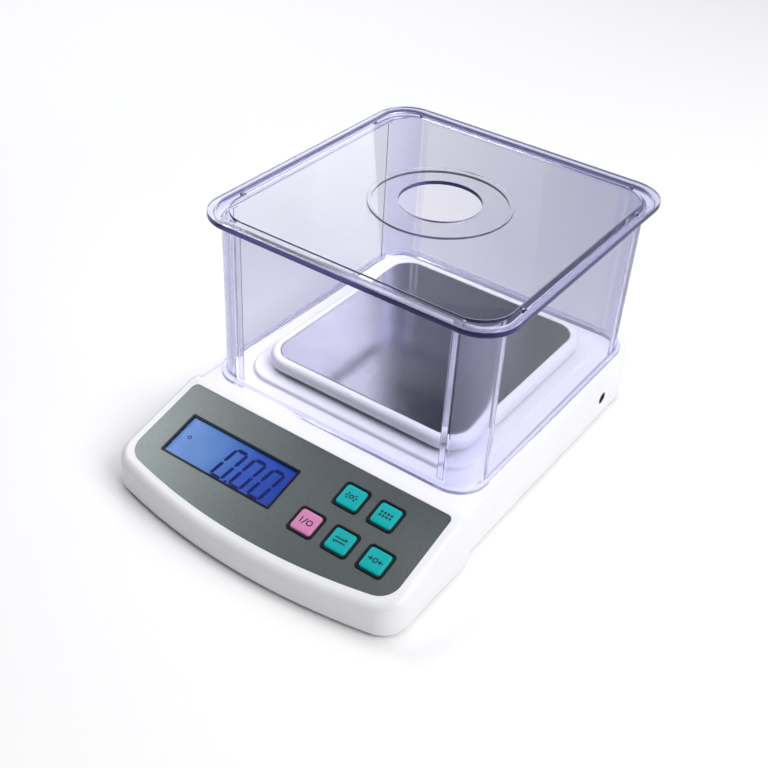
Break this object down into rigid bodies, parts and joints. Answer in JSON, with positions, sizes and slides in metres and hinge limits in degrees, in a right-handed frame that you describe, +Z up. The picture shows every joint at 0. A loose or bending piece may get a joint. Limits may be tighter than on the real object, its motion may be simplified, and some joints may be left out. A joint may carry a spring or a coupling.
{
  "type": "digital gram scale",
  "caption": "Bench gram scale with a sloping control panel, a steel weighing pan in a white tray, and a clear lift-off draft shield with a lid.",
  "frame": {"origin": "on the surface under the feet, below the middle of the casing", "axes": "+Z up, +Y towards the rear, so the display and keys face -Y; +X to the right of someone reading the display"},
  "size_m": [0.177, 0.257, 0.1326],
  "materials": {
    "casing_white": "satin moulded ABS, very slightly warm white",
    "tray_white": "satin moulded ABS",
    "overlay_grey": "printed polyester overlay with a fine metallic grain",
    "display_black": "dark moulded frame",
    "window_clear": "clear acrylic window",
    "lcd_blue": "blue backlit negative liquid crystal",
    "backlight_white": "milky light guide",
    "surround_black": "black moulded ring",
    "key_teal": "glossy moulded key",
    "key_pink": "glossy moulded key",
    "board_green": "glass-fibre board under solder mask",
    "component_dark": "moulded component bodies",
    "screw_steel": "zinc-plated steel",
    "contact_steel": "nickel-plated spring steel",
    "cell_aluminium": "machined and anodised",
    "gauge_coating": "white silicone coating",
    "lead_grey": "grey insulated lead",
    "rubber_black": "black rubber",
    "plate_stainless": "stainless steel with a soft mirror finish",
    "shield_clear": "clear polystyrene with a blue-violet tint",
    "battery_jacket": "printed jacket"
  },
  "bodies": {
    "root": {"upper_casing": "casing_white", "lower_casing": "casing_white", "control_overlay": "overlay_grey", "display_frame": "display_black", "display_window": "window_clear", "lcd_glass": "lcd_blue", "lcd_backlight": "backlight_white", "key_surrounds": "surround_black", "main_board": "board_green", "board_parts": "component_dark", "tact_switches": "component_dark", "board_screws": "screw_steel", "load_cell": "cell_aluminium", "strain_gauges": "gauge_coating", "cell_spacer_fixed": "cell_aluminium", "cell_screws_fixed": "screw_steel", "overload_stop": "screw_steel", "cell_lead": "lead_grey", "dc_jack": "component_dark", "batteries": "battery_jacket", "battery_contacts": "contact_steel", "feet": "rubber_black", "casing_screws": "screw_steel"},
    "light_key": {"key_light": "key_teal"},
    "count_key": {"key_count": "key_teal"},
    "power_key": {"key_power": "key_pink"},
    "mode_key": {"key_mode": "key_teal"},
    "tare_key": {"key_tare": "key_teal"},
    "platform": {"pan_support": "cell_aluminium", "support_caps": "rubber_black", "cell_spacer_free": "cell_aluminium", "cell_screws_free": "screw_steel"},
    "tray": {"pan_tray": "tray_white"},
    "plate": {"pan_plate": "plate_stainless"},
    "shield": {"draft_shield": "shield_clear"},
    "lid": {"shield_lid": "shield_clear"},
    "door": {"battery_door": "casing_white"}
  },
  "joints": [
    {"name": "light_key_press", "type": "slide", "parent": "root", "child": "light_key", "axis": [0, 0.2588, -0.9659], "range_m": [0, 0.0006], "stiffness_N_per_m": 600, "springref_m": -0.0006},
    {"name": "count_key_press", "type": "slide", "parent": "root", "child": "count_key", "axis": [0, 0.2588, -0.9659], "range_m": [0, 0.0006], "stiffness_N_per_m": 600, "springref_m": -0.0006},
    {"name": "power_key_press", "type": "slide", "parent": "root", "child": "power_key", "axis": [0, 0.2588, -0.9659], "range_m": [0, 0.0006], "stiffness_N_per_m": 600, "springref_m": -0.0006},
    {"name": "mode_key_press", "type": "slide", "parent": "root", "child": "mode_key", "axis": [0, 0.2588, -0.9659], "range_m": [0, 0.0006], "stiffness_N_per_m": 600, "springref_m": -0.0006},
    {"name": "tare_key_press", "type": "slide", "parent": "root", "child": "tare_key", "axis": [0, 0.2588, -0.9659], "range_m": [0, 0.0006], "stiffness_N_per_m": 600, "springref_m": -0.0006},
    {"name": "platform_load", "type": "slide", "parent": "root", "child": "platform", "axis": [0, 0, -1], "range_m": [0, 0.0004], "stiffness_N_per_m": 15000, "springref_m": -0.0008, "deforming": ["load_cell"]},
    {"name": "tray_lift", "type": "slide", "parent": "platform", "child": "tray", "axis": [0, 0, 1], "range_m": [0, 0.035]},
    {"name": "plate_lift", "type": "slide", "parent": "tray", "child": "plate", "axis": [0, 0, 1], "range_m": [0, 0.04]},
    {"name": "shield_lift", "type": "slide", "parent": "root", "child": "shield", "axis": [0, 0, 1], "range_m": [0, 0.12]},
    {"name": "lid_lift", "type": "slide", "parent": "shield", "child": "lid", "axis": [0, 0, 1], "range_m": [0, 0.05]},
    {"name": "door_release", "type": "slide", "parent": "root", "child": "door", "axis": [0, 0, -1], "range_m": [0, 0.02]}
  ]
}
